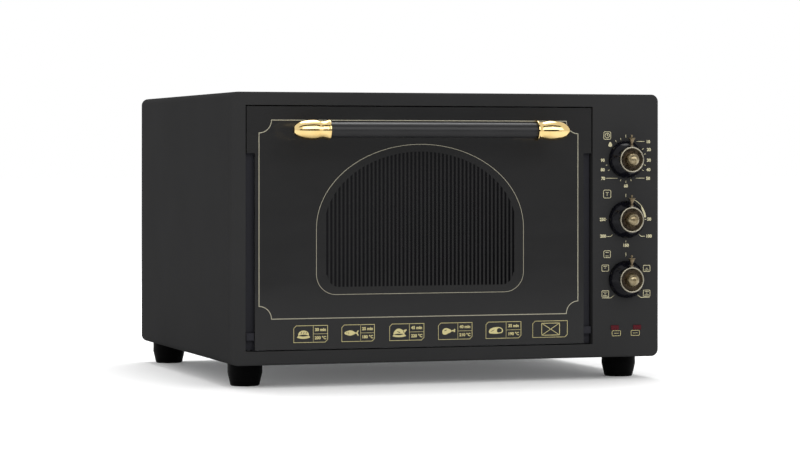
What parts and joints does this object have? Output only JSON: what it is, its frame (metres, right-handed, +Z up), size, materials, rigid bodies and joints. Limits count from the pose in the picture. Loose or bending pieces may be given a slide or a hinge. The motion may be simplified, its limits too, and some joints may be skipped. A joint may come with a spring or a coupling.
{
  "type": "mini oven",
  "caption": "Retro countertop mini oven: dark box on feet, drop-down door with arched slatted window and tubular handle, and a column of crown-pointer knobs at the right.",
  "frame": {"origin": "under the middle of the whole oven, handle included, on the surface that its feet stand on", "axes": "+X to the right seen from the front, +Y from the door to the back, +Z up"},
  "size_m": [0.56, 0.543, 0.36],
  "materials": {
    "body_paint": "fine satin dark grey paint",
    "galvanised": "plain zinc-coated sheet",
    "enamel": "speckled dark enamel",
    "tray_enamel": "glossy black enamel",
    "mineral_wool": "matted wool",
    "seal_rubber": "soft matte silicone",
    "element_steel": "heat-tinted sheath",
    "ceramic": "unglazed",
    "chrome_wire": "bright wire",
    "screw_steel": "plated screw",
    "spring_steel": "plain",
    "control_plastic": "moulded phenolic",
    "copper_tube": "drawn copper",
    "red_lens": "clear red",
    "lamp_glass": "neon tube",
    "black_plastic": "moulded",
    "white_plastic": "moulded",
    "wire_sleeve": "woven glass sleeve",
    "door_paint": "satin black paint",
    "door_glass": "dark lacquered glass with a slatted print",
    "clear_glass": "clear",
    "handle_black": "satin black",
    "gold_plate": "polished pale gold plate",
    "knob_black": "polished",
    "bronze_plate": "antique bronze plate",
    "brass": "turned"
  },
  "bodies": {
    "oven": {"case_wrap": "body_paint", "front_frame": "body_paint", "control_panel": "body_paint", "rear_panel": "galvanised", "base_plate": "galvanised", "rear_screws": "screw_steel", "front_bulkhead": "galvanised", "fascia_screws": "screw_steel", "cavity": "enamel", "partition": "galvanised", "insulation": "mineral_wool", "door_seal": "seal_rubber", "lower_elements": "element_steel", "upper_elements": "element_steel", "element_bushings": "ceramic", "rack_guide_left": "chrome_wire", "rack_guide_right": "chrome_wire", "wire_rack": "chrome_wire", "baking_tray": "tray_enamel", "hinge_bracket_left": "galvanised", "hinge_bracket_right": "galvanised", "hinge_pins": "screw_steel", "timer": "control_plastic", "thermostat": "control_plastic", "selector_switch": "control_plastic", "control_screws": "screw_steel", "thermostat_bulb": "copper_tube", "lamp_lenses": "red_lens", "pilot_lamps": "lamp_glass", "inlet_gland": "black_plastic", "terminal_block": "white_plastic", "wiring_loom": "wire_sleeve", "feet": "black_plastic", "foot_screws": "screw_steel"},
    "door": {"door_pan": "door_paint", "outer_glass": "door_glass", "door_liner": "galvanised", "inner_glass": "clear_glass", "glass_clips": "spring_steel", "hinge_bushings": "brass", "handle_bar": "handle_black", "handle_cap_left": "gold_plate", "handle_cap_right": "gold_plate", "handle_screws": "screw_steel"},
    "timer_knob": {"timer_knob_skirt": "knob_black", "timer_knob_dish": "bronze_plate", "timer_knob_dome": "bronze_plate", "timer_shaft": "brass"},
    "thermostat_knob": {"thermostat_knob_skirt": "knob_black", "thermostat_knob_dish": "bronze_plate", "thermostat_knob_dome": "bronze_plate", "thermostat_shaft": "brass"},
    "selector_knob": {"selector_knob_skirt": "knob_black", "selector_knob_dish": "bronze_plate", "selector_knob_dome": "bronze_plate", "selector_shaft": "brass"}
  },
  "joints": [
    {"name": "door_hinge", "type": "hinge", "parent": "oven", "child": "door", "pos_m": [0, -0.20975, 0.063], "axis": [1, 0, 0], "range_deg": [0, 90]},
    {"name": "timer_turn", "type": "hinge", "parent": "oven", "child": "timer_knob", "pos_m": [0.235, -0.21675, 0.2775], "axis": [0, 1, 0], "range_deg": [-45, 270]},
    {"name": "thermostat_turn", "type": "hinge", "parent": "oven", "child": "thermostat_knob", "pos_m": [0.235, -0.21675, 0.2018], "axis": [0, 1, 0], "range_deg": [0, 270]},
    {"name": "selector_turn", "type": "hinge", "parent": "oven", "child": "selector_knob", "pos_m": [0.235, -0.21675, 0.1261], "axis": [0, 1, 0], "range_deg": [0, 296]}
  ]
}
